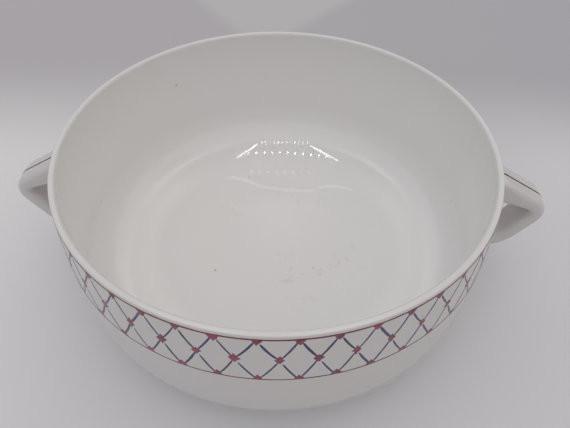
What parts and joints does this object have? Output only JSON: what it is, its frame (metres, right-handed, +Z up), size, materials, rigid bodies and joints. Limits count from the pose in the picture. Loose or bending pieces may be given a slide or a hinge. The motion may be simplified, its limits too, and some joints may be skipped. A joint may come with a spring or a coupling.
{
  "type": "two-handled serving bowl",
  "caption": "Deep round porcelain serving bowl with a gently bellied wall, a rounded lip, a foot ring and strap handles on opposite sides.",
  "frame": {"origin": "centre of the foot ring, on the plane that the bowl stands on", "axes": "+Z up along the bowl's axis; +X through the middle of the right handle; +Y across, a quarter turn from the handles"},
  "size_m": [0.3256, 0.2492, 0.104],
  "materials": {
    "glazed_porcelain": "glossy clear glaze over greyish white porcelain",
    "glazed_slip": "glossy clear glaze over white porcelain slip",
    "red_enamel": "thin painted maroon lines and dots under the glaze",
    "blue_enamel": "thin painted dark blue brush strokes under the glaze"
  },
  "bodies": {
    "root": {"bowl_body": "glazed_porcelain", "right_handle": "glazed_porcelain", "right_upper_slip_joint": "glazed_slip", "right_lower_slip_joint": "glazed_slip", "left_handle": "glazed_porcelain", "left_upper_slip_joint": "glazed_slip", "left_lower_slip_joint": "glazed_slip"}
  },
  "joints": []
}
